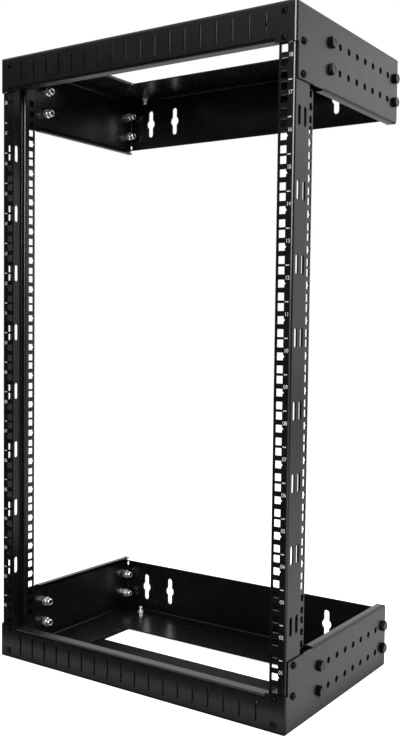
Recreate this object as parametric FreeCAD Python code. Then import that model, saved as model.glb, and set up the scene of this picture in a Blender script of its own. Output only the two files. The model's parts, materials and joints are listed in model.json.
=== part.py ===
import FreeCAD, Part
import math
import os

# Open frame rack for a wall: two posts between a top and a bottom frame.
# Each frame is a front tray with a wall tray nested inside it, both folded from sheet.
# Millimetres. X to the right, Y from the front to the wall, Z up from the floor.

Vec = FreeCAD.Vector

# rack units and the square holes of the rails
units = 18
unit_pitch = 44.45
rail_spacing = 465.1
rail_hole = 9.5
notch_width = 4.0
notch_depth = 2.0

# overall sizes and sheet
rail_to_side = 17.45
rack_depth = 304.8
sheet = 2.0
bend_radius = 4.0

# front tray: beam, side plates and a flat plate with a cut-out
beam_height = 50.0
beam_slot_pitch = 24.4
beam_slot_width = 2.8
beam_slot_height = 29.0
beam_slot_margin = 10.0
beam_lip_gap = 5.0
beam_lip_depth = 16.0
beam_lip_raise = 3.0
side_height = 94.5
side_setback = 6.0
side_end_gap = 1.0
side_corner = 7.0
side_edge_raise = 2.0
side_lip_start = 72.0
side_lip_depth = 11.0
front_plate_depth = 144.0
cutout_margin = 82.0
cutout_corner = 6.0

# wall tray: plate with keyholes, side walls and a flat plate with a cut-out
wall_plate_height = 86.5
wall_plate_depth = 99.0
keyhole_x = (152.4, 203.2)
keyhole_centre = 45.0
keyhole_eye = 16.0
keyhole_slot = 9.0
keyhole_length = 44.5
relief_hole = 7.0
relief_height = 5.0

# depth setting: two rows of holes along each side, bolted at both ends of the rows
row_pitch = 25.4
row_end = 10.6
row_margin = 28.0
row_heights = (30.0, 63.5)
tray_clearance = 2.0

# posts: a flange of square holes, a slotted web, a step inward and a second strip of square holes
flange_margin = 2.8
post_bend = 3.5
post_web_depth = 39.2
post_step = 6.5
post_depth = 58.4
web_slot_pitch = 90.0
web_slot_from_front = (11.6, 26.4)
web_slot_width = 7.0
web_slot_height = 25.0

# bolts and nuts of the depth setting
bolt_diameter = 8.0
bolt_clearance = 1.0
head_flats = 13.0
head_height = 5.3
nut_flats = 13.0
nut_height = 6.5
bolt_past_nut = 8.0

# studs and nuts that clamp the two flat plates of a frame
stud_diameter = 6.0
stud_clearance = 0.6
stud_inset = 50.0
stud_from_front = 81.4
stud_from_wall = 22.8
stud_slot = 30.0
stud_nut_flats = 10.0
stud_nut_height = 5.0
stud_past_nut = 7.0

# sides of the many small round bars and holes, reach of a cut past its sheet, tolerance of a place
round_sides = 12
past = 5.0
near = 0.01

# the hole pattern of a unit: a seventh, a half and six sevenths of its height
unit_holes = (unit_pitch / 7, unit_pitch / 2, unit_pitch * 6 / 7)
bay_height = units * unit_pitch
bay_bottom = beam_height
bay_top = bay_bottom + bay_height
rack_height = bay_top + beam_height
rail_x = rail_spacing / 2
half_width = rail_x + rail_to_side
y_front = -rack_depth / 2
y_wall = rack_depth / 2

post_outer = half_width - sheet
post_inner = rail_x - rail_hole / 2 - flange_margin
post_front = y_front + sheet
step_rear = post_front + post_web_depth
post_end = post_front + post_depth
strip_outer = post_outer - post_step
strip_hole_y = post_end - flange_margin - rail_hole / 2

side_bottom = rack_height - side_height
side_end = y_wall - side_end_gap
lip_root = bend_radius + sheet
beam_lip_half = post_inner - beam_lip_gap
beam_lip_bottom = bay_top + beam_lip_raise
cutout_half = half_width - cutout_margin

row_hole = bolt_diameter + bolt_clearance
row_last = y_wall - row_end
row_room = row_last - row_margin - tray_clearance - post_end
row_holes = int(row_room // row_pitch) + 1
row_first = row_last - (row_holes - 1) * row_pitch
wall_tray_front = row_first - row_margin

stud_x = half_width - stud_inset
stud_y = (y_front + stud_from_front, y_wall - stud_from_wall)


def block(x0, x1, y0, y1, z0, z1):
    return Part.makeBox(x1 - x0, y1 - y0, z1 - z0, Vec(x0, y0, z0))


def prism(points, travel):
    outline = Part.makePolygon(points + [points[0]])
    return Part.Face(outline).extrude(travel)


def many_sided(sides, flats, length, base, axis):
    up = Vec(0, 0, 1)
    corner = Vec(flats / 2 / math.cos(math.pi / sides), 0, 0)
    points = [FreeCAD.Rotation(up, 360 / sides * i).multVec(corner) for i in range(sides)]
    body = prism(points, Vec(0, 0, length))
    body.Placement = FreeCAD.Placement(base, FreeCAD.Rotation(up, axis))
    return body


def rod(diameter, length, base, axis):
    return many_sided(round_sides, diameter, length, base, axis)


def hexagon(flats, length, base, axis):
    return many_sided(6, flats, length, base, axis)


def rounded(body, radius, edge_centres):
    edges = []
    for edge in body.Edges:
        if any((edge.CenterOfMass - place).Length < near for place in edge_centres):
            edges.append(edge)
    return body.makeFillet(radius, edges)


def left_of(shape):
    return shape.mirror(Vec(0, 0, 0), Vec(1, 0, 0))


def below(shape):
    return shape.mirror(Vec(0, 0, rack_height / 2), Vec(0, 0, 1))


# A block whose top and one end are folded: those edges are round and meet in mitres.
def folded_block(x_half, y_open, y_closed, z0, z1, radius):
    y0, y1 = sorted((y_open, y_closed))
    sides = (-x_half, x_half)
    end_fold = [Vec(0, y_closed, z1)]
    side_folds = [Vec(x, (y0 + y1) / 2, z1) for x in sides]
    upright_folds = [Vec(x, y_closed, (z0 + z1) / 2) for x in sides]
    plain = block(-x_half, x_half, y0, y1, z0, z1)
    body = rounded(plain, radius, end_fold)
    body = body.common(rounded(plain, radius, side_folds))
    return body.common(rounded(plain, radius, upright_folds))


# A sheet tray, open below and at y_open.
def tray(x_half, y_open, y_closed, z0, z1):
    outward = math.copysign(1, y_open - y_closed)
    outer = folded_block(x_half, y_open, y_closed, z0, z1, bend_radius)
    inner = folded_block(x_half - sheet, y_open + outward * past, y_closed + outward * sheet,
                         z0 - past, z1 - sheet, bend_radius - sheet)
    return outer.cut(inner)


# A lip folded inward at the lower edge of a plate, from where the outer faces would meet.
def folded_lip(corner, run, inward, depth):
    up = Vec(0, 0, 1)
    inner_corner = corner + inward * sheet + up * sheet
    root = corner + up * lip_root
    points = [root, corner, corner + inward * depth, corner + inward * depth + up * sheet,
              inner_corner, root + inward * sheet]
    body = prism(points, run)
    body = rounded(body, bend_radius, [corner + run * 0.5])
    return rounded(body, bend_radius - sheet, [inner_corner + run * 0.5])


def beam_lip():
    corner = Vec(-beam_lip_half, y_front, beam_lip_bottom)
    return folded_lip(corner, Vec(2 * beam_lip_half, 0, 0), Vec(0, 1, 0), beam_lip_depth)


def side_lip():
    y0 = y_front + side_lip_start
    y1 = side_end - side_corner
    corner = Vec(half_width, y0, side_bottom)
    return folded_lip(corner, Vec(0, y1 - y0, 0), Vec(-1, 0, 0), side_lip_depth)


def cutout(y0, y1, z0, z1):
    body = block(-cutout_half, cutout_half, y0, y1, z0, z1)
    corners = [Vec(x, y, (z0 + z1) / 2) for x in (-cutout_half, cutout_half) for y in (y0, y1)]
    return rounded(body, cutout_corner, corners)


def beam_slots():
    count = int(2 * (beam_lip_half - beam_slot_margin) // beam_slot_pitch) + 1
    z = (beam_lip_bottom + rack_height) / 2
    cuts = []
    for i in range(count):
        x = (i - (count - 1) / 2) * beam_slot_pitch
        cuts.append(block(x - beam_slot_width / 2, x + beam_slot_width / 2, y_front - past, y_front + past,
                          z - beam_slot_height / 2, z + beam_slot_height / 2))
    return cuts


def row_cuts(places):
    width = 2 * half_width + 2 * past
    return [rod(row_hole, width, Vec(-width / 2, y, z), Vec(1, 0, 0)) for y, z in places]


def row_places():
    ys = [row_first + i * row_pitch for i in range(row_holes)]
    return [(y, rack_height - h) for y in ys for h in row_heights]


def bolt_places():
    return [(y, rack_height - h) for y in (row_first, row_last) for h in row_heights]


def stud_rods(side):
    z = rack_height - stud_length()
    return [rod(stud_diameter, stud_length(), Vec(side * stud_x, y, z), Vec(0, 0, 1)) for y in stud_y]


def stud_length():
    return 2 * sheet + stud_nut_height + stud_past_nut


def top_front_tray():
    wide = half_width + past
    body = tray(half_width, side_end, y_front, side_bottom, rack_height)
    corner_x = half_width - sheet / 2
    body = rounded(body, side_corner, [Vec(x, side_end, side_bottom) for x in (-corner_x, corner_x)])
    lip_y0 = y_front + side_lip_start
    lip_y1 = side_end - side_corner
    below_ears = block(-wide, wide, y_front - past, y_front + side_setback, side_bottom - past, bay_top)
    plain_edges = block(-wide, wide, y_front, lip_y0, side_bottom - past, side_bottom + side_edge_raise)
    side_folds = block(-wide, wide, lip_y0, lip_y1, side_bottom - past, side_bottom + lip_root)
    beam_fold = block(-beam_lip_half, beam_lip_half, y_front - past, y_front + past,
                      bay_top - past, beam_lip_bottom + lip_root)
    opening = cutout(y_front + front_plate_depth, y_wall + 2 * cutout_corner,
                     rack_height - sheet - past, rack_height + past)
    body = body.cut([below_ears, plain_edges, side_folds, beam_fold, opening])
    body = body.fuse([beam_lip(), side_lip(), left_of(side_lip())]).removeSplitter()
    return body.cut(beam_slots() + row_cuts(row_places()) + stud_rods(1) + stud_rods(-1))


# A slot with round ends and a larger eye in its middle.
def keyhole(x):
    across = Vec(0, 1, 0)
    start = Vec(x, y_wall - sheet - past, rack_height - keyhole_centre)
    deep = sheet + 2 * past
    half_run = Vec(0, 0, (keyhole_length - keyhole_slot) / 2)
    eye = Part.makeCylinder(keyhole_eye / 2, deep, start, across)
    ends = [Part.makeCylinder(keyhole_slot / 2, deep, start + half_run * side, across) for side in (-1, 1)]
    run = block(x - keyhole_slot / 2, x + keyhole_slot / 2, start.y, start.y + deep,
                start.z - half_run.z, start.z + half_run.z)
    return eye.fuse(ends + [run])


def stud_slots(plate_top):
    half = (stud_diameter + stud_clearance) / 2
    cuts = []
    for x in (-stud_x, stud_x):
        for y in stud_y:
            cuts.append(block(x - half, x + half, y - stud_slot / 2, y + stud_slot / 2,
                              plate_top - sheet - past, plate_top + past))
    return cuts


def top_wall_tray():
    plate_top = rack_height - sheet
    bottom = rack_height - wall_plate_height
    body = tray(post_outer, wall_tray_front, y_wall, bottom, plate_top)
    opening = cutout(wall_tray_front - 2 * cutout_corner, y_wall - wall_plate_depth,
                     plate_top - sheet - past, plate_top + past)
    cuts = [opening] + row_cuts(bolt_places()) + stud_slots(plate_top)
    cuts += [keyhole(side * x) for x in keyhole_x for side in (-1, 1)]
    for side in (-1, 1):
        corner = Vec(side * (post_outer + past), y_wall, bottom + relief_height)
        cuts.append(rod(relief_hole, past + bend_radius, corner, Vec(-side, 0, 0)))
    return body.cut(cuts)


def rail_heights():
    return [(bay_bottom + u * unit_pitch + h, h) for u in range(units) for h in unit_holes]


# Square holes through a sheet, with a pointed notch at the middle one of each unit.
def rail_cuts(column, across, through):
    up = Vec(0, 0, 1)
    half = rail_hole / 2
    cuts = []
    for z, h in rail_heights():
        points = [across * -half + up * half, across * -half - up * half, across * half - up * half]
        if h == unit_holes[1]:
            edge = across * half
            mouth = up * (notch_width / 2)
            points += [edge - mouth, edge + across * notch_depth, edge + mouth]
        points.append(across * half + up * half)
        start = column + up * z - through * past
        cuts.append(prism([start + point for point in points], through * (sheet + 2 * past)))
    return cuts


# A slot with round ends through the web.
def web_slot(y, z):
    radius = web_slot_width / 2
    half_run = web_slot_height / 2 - radius
    x = post_outer - sheet - past
    points = []
    for side in (1, -1):
        for i in range(round_sides // 2 + 1):
            turn = 2 * math.pi * i / round_sides
            points.append(Vec(x, y + side * radius * math.cos(turn),
                              z + side * (half_run + radius * math.sin(turn))))
    return prism(points, Vec(sheet + 2 * past, 0, 0))


def right_post():
    web = post_outer - sheet
    strip = strip_outer - sheet
    step_front = step_rear - sheet
    flange_rear = post_front + sheet
    outline = [(post_inner, post_front), (post_outer, post_front), (post_outer, step_rear),
               (strip_outer, step_rear), (strip_outer, post_end), (strip, post_end), (strip, step_front),
               (web, step_front), (web, flange_rear), (post_inner, flange_rear)]
    body = prism([Vec(x, y, sheet) for x, y in outline], Vec(0, 0, rack_height - 2 * sheet))
    middle = rack_height / 2
    outside = [(post_outer, post_front), (post_outer, step_rear), (strip, step_front)]
    inside = [(web, flange_rear), (web, step_front), (strip_outer, step_rear)]
    body = rounded(body, post_bend, [Vec(x, y, middle) for x, y in outside])
    body = rounded(body, post_bend - sheet, [Vec(x, y, middle) for x, y in inside])
    cuts = rail_cuts(Vec(rail_x, post_front, 0), Vec(1, 0, 0), Vec(0, 1, 0))
    cuts += rail_cuts(Vec(strip, strip_hole_y, 0), Vec(0, 1, 0), Vec(1, 0, 0))
    pairs = int(bay_height // web_slot_pitch)
    for i in range(pairs):
        z = middle + (i - (pairs - 1) / 2) * web_slot_pitch
        cuts += [web_slot(post_front + depth, z) for depth in web_slot_from_front]
    return body.cut(cuts)


def nut(flats, height, bore, seat, axis):
    return hexagon(flats, height, seat, axis).cut(rod(bore, height, seat, axis))


def lock_bolts():
    outward = Vec(1, 0, 0)
    grip = 2 * sheet + nut_height + bolt_past_nut
    bolts = []
    for y, z in bolt_places():
        seat = Vec(half_width, y, z)
        head = hexagon(head_flats, head_height, seat, outward)
        bolts.append(head.fuse(rod(bolt_diameter, grip, seat - outward * grip, outward)))
    return Part.makeCompound(bolts)


def lock_nuts():
    seat_x = half_width - 2 * sheet
    nuts = [nut(nut_flats, nut_height, bolt_diameter, Vec(seat_x, y, z), Vec(-1, 0, 0))
            for y, z in bolt_places()]
    return Part.makeCompound(nuts)


def plate_nuts():
    seat_z = rack_height - 2 * sheet - stud_nut_height
    nuts = [nut(stud_nut_flats, stud_nut_height, stud_diameter, Vec(stud_x, y, seat_z), Vec(0, 0, 1))
            for y in stud_y]
    return Part.makeCompound(nuts)


def pieces():
    post = right_post()
    front = top_front_tray()
    wall = top_wall_tray()
    made = {
        "right_post": post,
        "left_post": left_of(post),
        "top_front_tray": front,
        "bottom_front_tray": below(front),
        "top_wall_tray": wall,
        "bottom_wall_tray": below(wall),
    }
    hardware = {
        "lock_bolts": lock_bolts(),
        "lock_nuts": lock_nuts(),
        "plate_studs": Part.makeCompound(stud_rods(1)),
        "plate_nuts": plate_nuts(),
    }
    for name, shape in hardware.items():
        made["top_right_" + name] = shape
        made["top_left_" + name] = left_of(shape)
        made["bottom_right_" + name] = below(shape)
        made["bottom_left_" + name] = below(left_of(shape))
    return made


os.makedirs("parts", exist_ok=True)
for name, shape in pieces().items():
    shape.exportStep("parts/" + name + ".step")
    print(name, len(shape.Solids), round(shape.Volume), shape.isValid())
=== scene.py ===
import json
import math

import bmesh
import bpy
from mathutils import Matrix, Vector


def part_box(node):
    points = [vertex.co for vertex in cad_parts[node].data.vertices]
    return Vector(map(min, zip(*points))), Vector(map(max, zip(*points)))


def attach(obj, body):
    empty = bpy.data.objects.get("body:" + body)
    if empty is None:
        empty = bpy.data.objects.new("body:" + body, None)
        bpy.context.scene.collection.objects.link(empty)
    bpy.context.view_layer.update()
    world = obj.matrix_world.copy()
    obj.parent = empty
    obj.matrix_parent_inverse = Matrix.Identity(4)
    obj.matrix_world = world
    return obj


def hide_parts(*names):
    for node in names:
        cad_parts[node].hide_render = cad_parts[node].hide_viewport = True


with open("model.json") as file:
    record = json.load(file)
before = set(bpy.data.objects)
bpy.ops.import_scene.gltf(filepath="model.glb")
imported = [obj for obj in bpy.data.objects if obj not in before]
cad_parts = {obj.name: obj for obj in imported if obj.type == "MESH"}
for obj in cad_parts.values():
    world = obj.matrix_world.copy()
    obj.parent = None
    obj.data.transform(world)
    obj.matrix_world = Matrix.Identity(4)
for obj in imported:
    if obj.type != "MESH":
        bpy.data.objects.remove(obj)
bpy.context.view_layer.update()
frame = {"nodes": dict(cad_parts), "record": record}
scene = bpy.context.scene
print("rack frame loaded:", len(frame["nodes"]), "nodes")

corners = ("top_right", "top_left", "bottom_right", "bottom_left")
mm = 0.001


# small tools for the materials

rampStops = (0.34, 0.66)   # usual range of a noise, for tones
noiseSpan = (0.3, 0.7)     # and for roughness
fullSheen = 0.5            # specular level of an open surface


def addNode(tree, kind, spot, **settings):
    made = tree.nodes.new("ShaderNode" + kind)
    made.location = spot
    for key, value in settings.items():
        setattr(made, key, value)
    return made


def newFinish(name):
    finish = bpy.data.materials.new(name)
    finish.use_nodes = True
    tree = finish.node_tree
    tree.nodes.clear()
    out = addNode(tree, "OutputMaterial", (900, 0))
    shader = addNode(tree, "BsdfPrincipled", (600, 0))
    tree.links.new(shader.outputs["BSDF"], out.inputs["Surface"])
    return finish, tree, shader


def noiseField(tree, spot, scale, detail, stretch=(1, 1, 1)):
    coords = addNode(tree, "TexCoord", (spot[0] - 400, spot[1]))
    mapping = addNode(tree, "Mapping", (spot[0] - 200, spot[1]))
    mapping.inputs["Scale"].default_value = stretch
    noise = addNode(tree, "TexNoise", spot)
    noise.inputs["Scale"].default_value = scale
    noise.inputs["Detail"].default_value = detail
    tree.links.new(coords.outputs["Object"], mapping.inputs["Vector"])
    tree.links.new(mapping.outputs["Vector"], noise.inputs["Vector"])
    return noise.outputs["Fac"]


def toneRamp(tree, spot, field, tones):
    ramp = addNode(tree, "ValToRGB", spot)
    for stop, place, tone in zip(ramp.color_ramp.elements, rampStops, tones):
        stop.position = place
        stop.color = (*tone, 1)
    tree.links.new(field, ramp.inputs["Fac"])
    return ramp.outputs["Color"]


def remap(tree, spot, field, fromSpan, toSpan):
    span = addNode(tree, "MapRange", spot)
    span.inputs["From Min"].default_value, span.inputs["From Max"].default_value = fromSpan
    span.inputs["To Min"].default_value, span.inputs["To Max"].default_value = toSpan
    tree.links.new(field, span.inputs["Value"])
    return span.outputs["Result"]


def layOver(tree, spot, share, under, over, kind):
    # the value or colour over shows by its share, and what is under it elsewhere
    mix = addNode(tree, "Mix", spot, data_type=kind)
    tree.links.new(share, mix.inputs["Factor"])
    tree.links.new(under, mix.inputs["A"])
    mix.inputs["B"].default_value = over
    return mix.outputs["Result"]


def cloudTone(tree, look):
    cloud = noiseField(tree, (-500, 300), look["cloudScale"], look["cloudDetail"])
    return toneRamp(tree, (-250, 300), cloud, look["tones"])


def rubbedGloss(tree, look):
    rub = noiseField(tree, (-500, 0), look["rubScale"], look["rubDetail"])
    return remap(tree, (-250, 0), rub, noiseSpan, look["roughness"])


def fineBump(tree, spot, field, strength, depth, normal=None):
    bump = addNode(tree, "Bump", spot)
    bump.inputs["Strength"].default_value = strength
    bump.inputs["Distance"].default_value = depth
    tree.links.new(field, bump.inputs["Height"])
    if normal:
        tree.links.new(normal, bump.inputs["Normal"])
    return bump.outputs["Normal"]


def paintedNookShade(tree, spot, look):
    # painted shade: the gloss fades deep in corners and holes and beside the sheet, where shade
    # falls
    shadeProbe = addNode(tree, "AmbientOcclusion", spot, samples=look["paintedShadeSamples"])
    shadeProbe.inputs["Distance"].default_value = look["paintedShadeReach"]
    beside = (spot[0] + 250, spot[1])
    return remap(tree, beside, shadeProbe.outputs["AO"], look["paintedShadeSpan"], (0, fullSheen))


def dustAndLightShare(tree, spot, limits):
    # 1 on faces that look up inside the limits of each axis, for dust and for painted light, and 0
    # elsewhere
    surface = addNode(tree, "NewGeometry", (spot[0] - 400, spot[1]))
    place = addNode(tree, "SeparateXYZ", (spot[0] - 200, spot[1]))
    facing = addNode(tree, "SeparateXYZ", (spot[0] - 200, spot[1] - 200))
    tree.links.new(surface.outputs["Position"], place.inputs["Vector"])
    tree.links.new(surface.outputs["Normal"], facing.inputs["Vector"])
    share = facing.outputs["Z"]
    for step, (axis, span) in enumerate(limits.items()):
        column = spot[0] + 400 * step
        inside = remap(tree, (column, spot[1]), place.outputs[axis], span, (0, 1))
        both = addNode(tree, "Math", (column + 200, spot[1]), operation="MULTIPLY", use_clamp=True)
        tree.links.new(share, both.inputs[0])
        tree.links.new(inside, both.inputs[1])
        share = both.outputs[0]
    return share


# satin powder coat: near black, fine orange peel, with paler edges that are a painted highlight
# dust dulls the top of the rack, and painted light from above makes the strip behind the bottom
# beam paler
trayCoat = {"tones": ((0.0018, 0.0018, 0.0019), (0.003, 0.003, 0.0031)),
            "cloudScale": 7, "cloudDetail": 4,
            "edgeHighlightTone": (0.005, 0.005, 0.0053), "edgeRadius": 0.04 * mm, "edgeSamples": 4,
            "edgeTurn": (0.99, 0.82),
            "roughness": (0.25, 0.29), "rubScale": 42, "rubDetail": 5,
            "peelScale": 1300, "peelDetail": 2, "peelDepth": 0.02 * mm, "peelStrength": 0.22,
            "ior": 1.48, "paintedShadeReach": 50 * mm, "paintedShadeSpan": (0.38, 0.93), "paintedShadeSamples": 8,
            "topDust": {"Z": (0.7, 0.85)}, "topDustRoughness": 0.62, "topDustSheen": 0.04,
            "beamPaintedLight": {"Z": (0.012, 0.006), "Y": (0.008, -0.004), "X": (-0.2, -0.06)},
            "beamPaintedLightTone": (0.028, 0.028, 0.0286)}
postCoat = dict(trayCoat, tones=((0.0018, 0.0018, 0.0019), (0.0028, 0.0028, 0.0029)), cloudScale=9)


def powderCoat(name, look):
    finish, tree, shader = newFinish(name)
    rounded = addNode(tree, "Bevel", (-500, -300), samples=look["edgeSamples"])
    rounded.inputs["Radius"].default_value = look["edgeRadius"]
    surface = addNode(tree, "NewGeometry", (-500, -550))
    turn = addNode(tree, "VectorMath", (-250, -450), operation="DOT_PRODUCT")
    tree.links.new(rounded.outputs["Normal"], turn.inputs[0])
    tree.links.new(surface.outputs["Normal"], turn.inputs[1])
    # the two normals agree on flat sheet and part at its edges
    edge = remap(tree, (-50, -450), turn.outputs["Value"], look["edgeTurn"], (0, 1))
    # painted highlight: the sheet's edges get a paler tone
    paintedEdgeHighlight = layOver(tree, (150, 250), edge, cloudTone(tree, look), (*look["edgeHighlightTone"], 1), "RGBA")
    # painted light: a paler strip on the floor plate behind the bottom beam
    paintedLightShare = dustAndLightShare(tree, (-500, 1300), look["beamPaintedLight"])
    tone = layOver(tree, (350, 250), paintedLightShare, paintedEdgeHighlight, (*look["beamPaintedLightTone"], 1), "RGBA")
    dust = dustAndLightShare(tree, (-500, 900), look["topDust"])
    gloss = layOver(tree, (150, 0), dust, rubbedGloss(tree, look), look["topDustRoughness"],
                    "FLOAT")
    # painted shade: corners, holes and slots lose their gloss, and dust dulls the top
    dustAndShadeSheen = layOver(tree, (150, 600), dust, paintedNookShade(tree, (-500, 600), look),
                    look["topDustSheen"], "FLOAT")
    peel = noiseField(tree, (-500, -800), look["peelScale"], look["peelDetail"])
    skin = fineBump(tree, (300, -350), peel, look["peelStrength"], look["peelDepth"],
                    rounded.outputs["Normal"])
    tree.links.new(tone, shader.inputs["Base Color"])
    tree.links.new(gloss, shader.inputs["Roughness"])
    tree.links.new(dustAndShadeSheen, shader.inputs["Specular IOR Level"])
    tree.links.new(skin, shader.inputs["Normal"])
    shader.inputs["IOR"].default_value = look["ior"]
    return finish


# black oxide of the bolts and screws, oiled and a little smoother than the coat
oxideLook = {"tones": ((0.001, 0.001, 0.0011), (0.003, 0.0029, 0.0028)),
             "cloudScale": 160, "cloudDetail": 4,
             "roughness": (0.16, 0.26), "rubScale": 420, "rubDetail": 3,
             "grainScale": 3200, "grainDetail": 2, "grainDepth": 0.01 * mm, "grainStrength": 0.2,
             "ior": 1.36, "paintedShadeReach": 9 * mm, "paintedShadeSpan": (0.5, 0.95), "paintedShadeSamples": 8}
screwLook = dict(oxideLook, ior=1.2, paintedShadeReach=12 * mm, paintedShadeSpan=(0.55, 1.0))


def blackOxide(name, look):
    finish, tree, shader = newFinish(name)
    grain = noiseField(tree, (-500, -300), look["grainScale"], look["grainDetail"])
    skin = fineBump(tree, (200, -300), grain, look["grainStrength"], look["grainDepth"])
    tree.links.new(cloudTone(tree, look), shader.inputs["Base Color"])
    tree.links.new(rubbedGloss(tree, look), shader.inputs["Roughness"])
    # painted shade: the heads' sides lose their gloss beside the plate and in hollows
    tree.links.new(paintedNookShade(tree, (-500, 600), look), shader.inputs["Specular IOR Level"])
    tree.links.new(skin, shader.inputs["Normal"])
    shader.inputs["IOR"].default_value = look["ior"]
    return finish


# bright zinc plate: clear, faintly blue and yellow in patches, with fine drawing lines
zincLook = {"tones": ((0.82, 0.85, 0.88), (0.93, 0.92, 0.88)), "cloudScale": 120, "cloudDetail": 3,
            "roughness": (0.16, 0.28), "rubScale": 520, "rubDetail": 4,
            "lineScale": 900, "lineDetail": 3, "lineStretch": (6, 1, 1), "lineDepth": 0.01 * mm,
            "lineStrength": 0.25, "metallic": 0.9}


def zincPlate(name, look):
    finish, tree, shader = newFinish(name)
    lines = noiseField(tree, (-500, -300), look["lineScale"], look["lineDetail"],
                       look["lineStretch"])
    skin = fineBump(tree, (200, -300), lines, look["lineStrength"], look["lineDepth"])
    tree.links.new(cloudTone(tree, look), shader.inputs["Base Color"])
    tree.links.new(rubbedGloss(tree, look), shader.inputs["Roughness"])
    tree.links.new(skin, shader.inputs["Normal"])
    shader.inputs["Metallic"].default_value = look["metallic"]   # the clear film scatters the rest
    return finish


# screen print of the unit numbers, thin in places where the coat shows through
inkLook = {"tones": ((0.28, 0.28, 0.28), (0.4, 0.4, 0.39)), "cloudScale": 900, "cloudDetail": 3,
           "roughness": (0.45, 0.6), "rubScale": 600, "rubDetail": 2, "ior": 1.45}


def screenInk(name, look):
    finish, tree, shader = newFinish(name)
    tree.links.new(cloudTone(tree, look), shader.inputs["Base Color"])
    tree.links.new(rubbedGloss(tree, look), shader.inputs["Roughness"])
    shader.inputs["IOR"].default_value = look["ior"]
    return finish


finishes = {"black_tray": powderCoat("trayPowderCoat", trayCoat),
            "black_post": powderCoat("postPowderCoat", postCoat),
            "black_bolt": blackOxide("boltBlackOxide", oxideLook),
            "zinc": zincPlate("nutZincPlate", zincLook)}
screwOxide = blackOxide("screwBlackOxide", screwLook)
numberInk = screenInk("unitNumberInk", inkLook)
for part in frame["record"]["subparts"]:
    solid = frame["nodes"][part["node"]]
    solid.data.materials.clear()
    solid.data.materials.append(finishes[part["material_slot"]])
print("finishes made for", len(finishes), "slots, the post screws and the print")


# small tools for the meshes

weldGap = 0.0001 * mm


def skinRings(bm, rings, place, closeFirst=True, closeLast=True):
    rows = [[bm.verts.new(place @ Vector(spot)) for spot in ring] for ring in rings]
    for lower, upper in zip(rows, rows[1:]):
        for i in range(len(lower)):
            j = (i + 1) % len(lower)
            bm.faces.new((lower[i], lower[j], upper[j], upper[i]))
    if closeFirst:
        bm.faces.new(rows[0][::-1])
    if closeLast:
        bm.faces.new(rows[-1])
    return rows


def circle(radius, height, steps):
    turn = 2 * math.pi / steps
    return [(radius * math.cos(i * turn), radius * math.sin(i * turn), height)
            for i in range(steps)]


def finishPiece(bm, name, material, sharp=28, nodes=()):
    # edges that turn more than sharp, in degrees, stay crisp
    bmesh.ops.recalc_face_normals(bm, faces=bm.faces)
    mesh = bpy.data.meshes.new(name)
    bm.to_mesh(mesh)
    bm.free()
    mesh.materials.append(material)
    mesh.polygons.foreach_set("use_smooth", [True] * len(mesh.polygons))
    mesh.set_sharp_from_angle(angle=math.radians(sharp))
    piece = bpy.data.objects.new(name, mesh)
    scene.collection.objects.link(piece)
    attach(piece, "root")
    if nodes:
        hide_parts(*nodes)


def faceOut(spot, outward, turn=0):
    # local Z looks out of the sheet, and the fastener is turned about it
    outward = Vector(outward)
    upright = abs(outward.z) > 0.5
    across = Vector((0, 1, 0)) if upright else Vector((0, 0, 1))
    third = outward.cross(across)
    basis = Matrix((across, third, outward)).transposed().to_4x4()
    return Matrix.Translation(spot) @ basis @ Matrix.Rotation(math.radians(turn), 4, "Z")


def hexRing(flats, height, steps, cap=None, slope=0):
    # a cap radius trims the corners as a turned chamfer does, and slope lets them fall
    ring = []
    for i in range(6 * steps):
        angle = i * math.pi / 3 / steps
        reach = flats / 2 / math.cos((angle % (math.pi / 3)) - math.pi / 6)
        drop = max(0, reach - cap) * slope if cap else 0
        ring.append((reach * math.cos(angle), reach * math.sin(angle), height + drop))
    return ring


threadForm = {"depth": 0.075, "groove": 1.6, "flank": 4}   # depth is a share of the thread's width


def threadRings(bm, place, low, high, look):
    # thread from high down to low on local Z, with a turned point at the low end
    major, pitch, around = look["thread"] / 2, look["pitch"], look["threadSteps"]
    depth = look["thread"] * threadForm["depth"]
    steps = max(4, round((high - low) / pitch * look["pitchSteps"]))
    rings = []
    for i in range(steps + 1):
        z = high + (low - high) * i / steps
        limit = major - look["point"] + (z - low)
        ring = []
        for k in range(around):
            phase = (z / pitch + k / around) % 1
            cut = min(1, max(0, threadForm["groove"] - threadForm["flank"] * abs(phase - 0.5)))
            reach = min(major - depth * cut, limit)
            angle = 2 * math.pi * k / around
            ring.append((reach * math.cos(angle), reach * math.sin(angle), z))
        rings.append(ring)
    skinRings(bm, rings, place)


def outwardSpan(low, high):
    # side of the rack, then the outer and the inner end of its fasteners, measured outward
    return (1, high.x, low.x) if low.x > 0 else (-1, -low.x, -high.x)


def cornerSpots(low, high, flats):
    # centres of the four hexagons of a corner, in the plane of the side plate
    inY, inZ = flats / 2, flats / 2 / math.cos(math.pi / 6)
    return [(y, z) for y in (low.y + inY, high.y - inY) for z in (low.z + inZ, high.z - inZ)]


# hexagon bolts of the depth setting: rim under the head, turned crown, shallow forged dish
lockBolt = {"flats": 13 * mm, "head": 5.3 * mm, "rim": 12.6 * mm, "rimHeight": 0.5 * mm,
            "crown": 5.9 * mm, "crownSlope": -0.58,
            "dish": 3.7 * mm, "dishFloor": 0.84, "dishDepth": 0.35 * mm,
            "thread": 8 * mm, "pitch": 1.25 * mm, "point": 1.0 * mm, "inCollar": 1.6 * mm,
            "flatSteps": 8, "threadSteps": 28, "pitchSteps": 7, "turns": (4, 21, -13, 38)}


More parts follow.
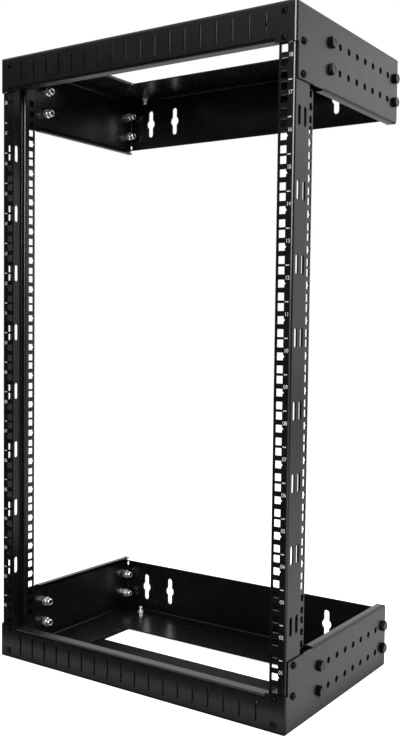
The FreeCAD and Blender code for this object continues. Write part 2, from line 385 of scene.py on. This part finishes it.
def hexHead(bm, place, look):
    steps, top = look["flatSteps"], look["head"]
    around = 6 * steps
    rings = [circle(look["rim"] / 2, 0, around),
             circle(look["rim"] / 2, look["rimHeight"], around),
             hexRing(look["flats"], look["rimHeight"], steps),
             hexRing(look["flats"], top, steps, look["crown"], look["crownSlope"]),
             circle(look["crown"], top, around),
             circle(look["dish"], top, around),
             circle(look["dish"] * look["dishFloor"], top - look["dishDepth"], around)]
    skinRings(bm, rings, place)


def boltSet(corner, look):
    name = corner + "_lock_bolts"
    low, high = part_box(name)
    side, outer, tip = outwardSpan(low, high)
    seat = outer - look["head"]
    bm = bmesh.new()
    for (y, z), turn in zip(cornerSpots(low, high, look["flats"]), look["turns"]):
        place = faceOut((side * seat, y, z), (side, 0, 0), turn)
        hexHead(bm, place, look)
        threadRings(bm, place, tip - seat + look["inCollar"], 0, look)
    finishPiece(bm, corner + "_hex_bolts", finishes["black_bolt"], nodes=(name,))


for corner in corners:
    boltSet(corner, lockBolt)
print("depth setting bolts made")


# bright lock nuts inside: a hexagon and the rolled collar that hides the bolt end
# the collar's outline is pairs of its radius and the height past the hexagon
lockNut = {"flats": 13 * mm, "crown": 6.05 * mm, "slope": 0.58,
           "bore": 4.02 * mm, "sink": 4.5 * mm, "sinkDepth": 0.45 * mm,
           "flatSteps": 8, "turns": (11, -20, 33, 2),
           "collar": ((5.65 * mm, 0), (5.65 * mm, 5.3 * mm), (5.4 * mm, 6.2 * mm),
                      (4.9 * mm, 6.8 * mm), (4.2 * mm, 7.15 * mm), (3.5 * mm, 7.1 * mm),
                      (3.0 * mm, 6.7 * mm), (3.0 * mm, 5.9 * mm))}


def hexNut(bm, place, low, high, look):
    steps = look["flatSteps"]
    around = 6 * steps
    rings = [circle(look["bore"], low + look["sinkDepth"], around),
             circle(look["sink"], low, around),
             circle(look["crown"], low, around),
             hexRing(look["flats"], low, steps, look["crown"], look["slope"]),
             hexRing(look["flats"], high, steps, look["crown"], -look["slope"]),
             circle(look["crown"], high, around),
             circle(look["sink"], high, around),
             circle(look["bore"], high - look["sinkDepth"], around)]
    rings.append(rings[0])   # the bore closes the skin
    rows = skinRings(bm, rings, place, False, False)
    bmesh.ops.remove_doubles(bm, verts=rows[0] + rows[-1], dist=weldGap)


def nutSet(corner, look):
    name = corner + "_lock_nuts"
    low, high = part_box(name)
    side, face, end = outwardSpan(low, high)
    around = 6 * look["flatSteps"]
    bm = bmesh.new()
    for (y, z), turn in zip(cornerSpots(low, high, look["flats"]), look["turns"]):
        place = faceOut((side * face, y, z), (side, 0, 0), turn)
        hexNut(bm, place, end - face, 0, look)
        collar = [circle(radius, end - face - height, around) for radius, height in look["collar"]]
        skinRings(bm, collar, place, False, False)
    finishPiece(bm, corner + "_hex_nuts", finishes["zinc"], nodes=(name,))


for corner in corners:
    nutSet(corner, lockNut)
print("depth setting nuts made")


# pressed studs flush with the flat plates, and the nuts that clamp the plates together
plateStud = {"thread": 6 * mm, "pitch": 1.0 * mm, "point": 0.8 * mm,
             "threadSteps": 24, "pitchSteps": 7,
             "head": 2.96 * mm, "headEdge": 0.15 * mm, "headHeight": 2 * mm}
plateNut = {"flats": 10 * mm, "crown": 4.65 * mm, "slope": 0.58,
            "bore": 3.02 * mm, "sink": 3.4 * mm, "sinkDepth": 0.35 * mm,
            "flatSteps": 6, "turns": (7, -16)}


def studSet(corner, look):
    name = corner + "_plate_studs"
    low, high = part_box(name)
    up = 1 if corner.startswith("top") else -1
    face = high.z if up > 0 else low.z
    inset, around = look["thread"] / 2, look["threadSteps"]
    bm = bmesh.new()
    for y in (low.y + inset, high.y - inset):
        place = faceOut(((low.x + high.x) / 2, y, face), (0, 0, up))
        rings = [circle(look["head"], -look["headHeight"], around),
                 circle(look["head"], -look["headEdge"], around),
                 circle(look["head"] - look["headEdge"], 0, around)]
        skinRings(bm, rings, place)
        threadRings(bm, place, low.z - high.z, -look["headHeight"], look)
    finishPiece(bm, corner + "_press_studs", finishes["zinc"], nodes=(name,))


def plateNutSet(corner, look):
    name = corner + "_plate_nuts"
    low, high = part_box(name)
    studLow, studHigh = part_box(corner + "_plate_studs")
    up = 1 if corner.startswith("top") else -1
    face = high.z if up > 0 else low.z
    overhang = (high.y - low.y - studHigh.y + studLow.y) / 2   # of a nut past its stud
    inset = overhang + plateStud["thread"] / 2
    bm = bmesh.new()
    for y, turn in zip((low.y + inset, high.y - inset), look["turns"]):
        place = faceOut(((low.x + high.x) / 2, y, face), (0, 0, up), turn)
        hexNut(bm, place, low.z - high.z, 0, look)
    finishPiece(bm, corner + "_clamp_nuts", finishes["zinc"], nodes=(name,))


for corner in corners:
    studSet(corner, plateStud)
    plateNutSet(corner, plateNut)
print("plate studs and nuts made")


# small pan screws with a cross recess: two at each end of a beam, two on each side plate
# the head's profile is pairs of shares of its radius and height
earScrew = {"width": 8.2 * mm, "height": 2.3 * mm, "steps": 28, "sharp": 35,
            "profile": ((1, 0), (1, 0.3), (0.955, 0.56), (0.85, 0.78), (0.7, 0.92), (0.56, 0.985)),
            "recessHalf": 0.55 * mm, "recessReach": 2.1 * mm, "recessDepth": 1.3 * mm,
            "recessFloor": 0.72,
            "fromSide": 17.45 * mm, "fromEdge": (11.9 * mm, 43.65 * mm), "turns": (12, 57, 33, 80)}
sideScrew = dict(earScrew, width=9.4 * mm, height=2.9 * mm, recessReach=2.4 * mm, fromFront=19 * mm,
                 fromEdge=(46 * mm, 85.6 * mm), turns=(70, 25, 44, 5))


def ringEdges(bm, ring):
    return [bm.edges.get((ring[i], ring[(i + 1) % len(ring)])) for i in range(len(ring))]


def panScrew(bm, place, look):
    radius, top = look["width"] / 2, look["height"]
    dome = [circle(radius * share, top * rise, look["steps"]) for share, rise in look["profile"]]
    rim = skinRings(bm, dome, place, True, False)[-1]
    half, reach, shrink = look["recessHalf"], look["recessReach"], look["recessFloor"]
    cross = ((half, half), (reach, half), (reach, -half), (half, -half),
             (half, -reach), (-half, -reach), (-half, -half), (-reach, -half),
             (-reach, half), (-half, half), (-half, reach), (half, reach))
    level = top * look["profile"][-1][1]
    bottom = level - look["recessDepth"]
    mouth = [bm.verts.new(place @ Vector((x, y, level))) for x, y in cross]
    floor = [bm.verts.new(place @ Vector((x * shrink, y * shrink, bottom))) for x, y in cross]
    for i in range(len(cross)):
        j = (i + 1) % len(cross)
        bm.faces.new((mouth[i], mouth[j], floor[j], floor[i]))
    bm.faces.new(floor)
    bmesh.ops.triangle_fill(bm, edges=ringEdges(bm, rim) + ringEdges(bm, mouth),
                            use_beauty=True, use_dissolve=False)


def screwSet(tray, side, ear, flank):
    low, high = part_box(tray)
    up = 1 if tray.startswith("top") else -1
    edge = high.z if up > 0 else low.z
    plate = high.x if side > 0 else low.x
    bm = bmesh.new()
    for inset, turn in zip(ear["fromEdge"], ear["turns"][::side]):
        spot = (plate - side * ear["fromSide"], low.y, edge - up * inset)
        panScrew(bm, faceOut(spot, (0, -1, 0), turn), ear)
    for inset, turn in zip(flank["fromEdge"], flank["turns"][::up]):
        spot = (plate, low.y + flank["fromFront"], edge - up * inset)
        panScrew(bm, faceOut(spot, (side, 0, 0), turn), flank)
    label = ("right" if side > 0 else "left") + "_post_screws"
    finishPiece(bm, tray.split("_")[0] + "_" + label, screwOxide, ear["sharp"])


for tray in ("top_front_tray", "bottom_front_tray"):
    for side in (1, -1):
        screwSet(tray, side, earScrew, sideScrew)
print("post screws made")


# unit numbers and the short lines between units, printed on the posts
unitPrint = {"units": 18, "pitch": 44.45 * mm, "firstUnit": 50 * mm,
             "thickness": 0.05 * mm, "sharp": 40,
             "digitSize": 7.0 * mm, "spacing": 0.88, "bolder": 0.02 * mm, "curveSteps": 3,
             "numberDrop": 15.4 * mm, "centreIn": 6.5 * mm,
             "lineIn": (4.4 * mm, 9.3 * mm), "lineHeight": 1.3 * mm, "lineSteps": 8,
             "fold": 3.5 * mm}


def printedNumber(text, look):
    curve = bpy.data.curves.new("unitDigits", "FONT")
    curve.body = text
    curve.size = look["digitSize"]
    curve.space_character = look["spacing"]
    curve.extrude = look["thickness"] / 2
    curve.offset = look["bolder"]
    curve.align_x, curve.align_y = "CENTER", "CENTER"
    curve.resolution_u = look["curveSteps"]
    holder = bpy.data.objects.new("unitDigits", curve)
    scene.collection.objects.link(holder)
    bpy.context.view_layer.update()
    solved = holder.evaluated_get(bpy.context.evaluated_depsgraph_get())
    mesh = bpy.data.meshes.new_from_object(solved)
    bpy.data.objects.remove(holder)
    bpy.data.curves.remove(curve)
    return mesh


def printedLine(bm, side, edge, front, z, look):
    # where the line comes near the post's outer edge it follows the fold
    near, far = look["lineIn"]
    fold, half, lift = look["fold"], look["lineHeight"] / 2, look["thickness"]
    rings = []
    for i in range(look["lineSteps"] + 1):
        inward = near + (far - near) * i / look["lineSteps"]
        turned = max(0, fold - inward)
        back = fold - math.sqrt(fold ** 2 - turned ** 2)
        x, y = edge - side * inward, front + back
        rings.append([(x, y, z - half), (x, y - lift, z - half),
                      (x, y - lift, z + half), (x, y, z + half)])
    skinRings(bm, rings, Matrix.Identity(4))


def printPost(post, side, look):
    low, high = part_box(post)
    edge = high.x if side > 0 else low.x
    x, y = edge - side * look["centreIn"], low.y - look["thickness"] / 2
    front = Matrix(((1, 0, 0, 0), (0, 0, -1, 0), (0, 1, 0, 0), (0, 0, 0, 1)))   # the print faces -Y
    bm = bmesh.new()
    for unit in range(1, look["units"] + 1):
        z = look["firstUnit"] + unit * look["pitch"]
        printedLine(bm, side, edge, low.y, z, look)
        digits = printedNumber(f"{unit:02d}", look)
        digits.transform(Matrix.Translation((x, y, z - look["numberDrop"])) @ front)
        bm.from_mesh(digits)
        bpy.data.meshes.remove(digits)
    finishPiece(bm, post + "_unit_print", numberInk, look["sharp"])


printPost("right_post", 1, unitPrint)
printPost("left_post", -1, unitPrint)
print("unit numbers printed on both posts")


# small tools for the studio

def quad(name, width, depth):
    bm = bmesh.new()
    signs = ((-1, -1), (1, -1), (1, 1), (-1, 1))
    bm.faces.new([bm.verts.new((x * width / 2, y * depth / 2, 0)) for x, y in signs])
    mesh = bpy.data.meshes.new(name)
    bm.to_mesh(mesh)
    bm.free()
    made = bpy.data.objects.new(name, mesh)
    scene.collection.objects.link(made)
    return made


def aimAt(thing, spot, aim):
    turned = (Vector(aim) - Vector(spot)).to_track_quat("-Z", "Y").to_matrix().to_4x4()
    thing.matrix_world = Matrix.Translation(spot) @ turned


# pale floor, which only the camera sees glow, so the rack isn't lit by it
floorLook = {"size": 14, "tones": ((0.82, 0.82, 0.82), (0.8364, 0.8364, 0.8364)),
             "cloudScale": 3, "cloudDetail": 2, "roughness": 0.9, "glow": 0.6}


def paleFloor(look):
    floor = quad("studioFloor", look["size"], look["size"])
    finish, tree, shader = newFinish("paleFloor")
    path = addNode(tree, "LightPath", (0, -300))
    glow = remap(tree, (300, -300), path.outputs["Is Camera Ray"], (0, 1), (0, look["glow"]))
    tree.links.new(cloudTone(tree, look), shader.inputs["Base Color"])
    tree.links.new(glow, shader.inputs["Emission Strength"])
    shader.inputs["Emission Color"].default_value = (1, 1, 1, 1)
    shader.inputs["Roughness"].default_value = look["roughness"]
    shader.inputs["Specular IOR Level"].default_value = 0
    floor.data.materials.append(finish)


softBoxes = {"ceilingBox": {"spot": (0.5, 0.7, 3.0), "aim": (0, 0, 0.4), "size": (2.6, 2.6),
                            "power": 36},
             "keyBox": {"spot": (1.34, -1.83, 1.36), "aim": (0.25, -0.15, 0.8), "size": (1.26, 1.1),
                        "power": 82},
             "backBox": {"spot": (1.5, 2.2, 1.45), "aim": (0.25, 0, 0.8), "size": (1.0, 0.4),
                         "power": 0.7}}


def softBox(name, look):
    lamp = bpy.data.lights.new(name, "AREA")
    lamp.shape = "RECTANGLE"
    lamp.size, lamp.size_y = look["size"]
    lamp.energy = look["power"]
    box = bpy.data.objects.new(name, lamp)
    scene.collection.objects.link(box)
    aimAt(box, look["spot"], look["aim"])
    box.visible_camera = False


# black cloths beside the camera, on the floor and under the rack, seen only in reflections
clothLook = {"tones": ((0.01, 0.01, 0.01), (0.02, 0.02, 0.02)), "cloudScale": 400, "cloudDetail": 2,
             "roughness": 1}
darkFlags = {"frontFlag": {"spot": (-1.65, -2.4, 0.6), "aim": (0, 0, 0.05), "size": (4.2, 2.55)},
             "rightFlag": {"spot": (2.25, -0.2, 0.9), "aim": (0.25, -0.1, 0.9), "size": (3.2, 2.4)},
             "floorFlag": {"spot": (-0.95, -1.4, 0.004), "aim": (-0.95, -1.4, 1),
                           "size": (3.0, 2.4)},
             "underFlag": {"spot": (0, 0, 0.003), "aim": (0, 0, 1), "size": (0.48, 0.29)}}


def flagCloth(look):
    finish, tree, shader = newFinish("flagCloth")
    tree.links.new(cloudTone(tree, look), shader.inputs["Base Color"])
    shader.inputs["Roughness"].default_value = look["roughness"]
    shader.inputs["Specular IOR Level"].default_value = 0
    return finish


def darkFlag(name, look, cloth):
    flag = quad(name, *look["size"])
    flag.data.materials.append(cloth)
    aimAt(flag, look["spot"], look["aim"])
    flag.visible_camera = flag.visible_diffuse = flag.visible_shadow = False


# white surround: full to the eye and in reflections, softer where it lights the rack
surroundLook = {"fill": 0.5, "white": 1}


def seenDirectly(tree, spot):
    # 1 for camera, mirror and glass rays
    path = addNode(tree, "LightPath", spot)
    first = addNode(tree, "Math", (spot[0] + 200, spot[1]), operation="MAXIMUM")
    second = addNode(tree, "Math", (spot[0] + 400, spot[1]), operation="MAXIMUM")
    tree.links.new(path.outputs["Is Camera Ray"], first.inputs[0])
    tree.links.new(path.outputs["Is Glossy Ray"], first.inputs[1])
    tree.links.new(first.outputs[0], second.inputs[0])
    tree.links.new(path.outputs["Is Transmission Ray"], second.inputs[1])
    return second.outputs[0]


def whiteSurround(look):
    world = bpy.data.worlds.new("studioSurround")
    scene.world = world
    world.use_nodes = True
    tree = world.node_tree
    tree.nodes.clear()
    out = addNode(tree, "OutputWorld", (600, 0))
    mix = addNode(tree, "MixShader", (400, 0))
    tree.links.new(seenDirectly(tree, (-500, 300)), mix.inputs["Fac"])
    for socket, row, level in ((1, 100, look["fill"]), (2, -100, look["white"])):
        ground = addNode(tree, "Background", (100, row))
        ground.inputs["Color"].default_value = (1, 1, 1, 1)
        ground.inputs["Strength"].default_value = level
        tree.links.new(ground.outputs[0], mix.inputs[socket])
    tree.links.new(mix.outputs[0], out.inputs["Surface"])


paleFloor(floorLook)
for name, look in softBoxes.items():
    softBox(name, look)
cloth = flagCloth(clothLook)
for name, look in darkFlags.items():
    darkFlag(name, look, cloth)
whiteSurround(surroundLook)
print("studio lit")


# camera at the photograph's place, fitted to the rail holes and the corners
rackCamera = {"spot": (0.80224, -1.14477, 0.50796), "azimuth": -33.5315, "elevation": -3.0558,
              "roll": 0.735, "lens": 45.683, "sensor": 36, "shift": (-0.02521, 0.01129)}


def placeCamera(look):
    data = bpy.data.cameras.new("rackCamera")
    data.sensor_fit = "AUTO"
    data.sensor_width = look["sensor"]
    data.lens = look["lens"]
    data.shift_x, data.shift_y = look["shift"]
    camera = bpy.data.objects.new("rackCamera", data)
    scene.collection.objects.link(camera)
    azimuth, elevation, roll = (math.radians(look[key]) for key in ("azimuth", "elevation", "roll"))
    level = math.cos(elevation)
    ahead = Vector((level * math.sin(azimuth), level * math.cos(azimuth), math.sin(elevation)))
    right = ahead.cross(Vector((0, 0, 1))).normalized()
    above = right.cross(ahead)
    turned = math.cos(roll) * right + math.sin(roll) * above
    raised = math.cos(roll) * above - math.sin(roll) * right
    basis = Matrix((turned, raised, -ahead)).transposed().to_4x4()
    camera.matrix_world = Matrix.Translation(look["spot"]) @ basis
    scene.camera = camera


placeCamera(rackCamera)
scene.view_settings.view_transform = "Standard"
print("camera set")
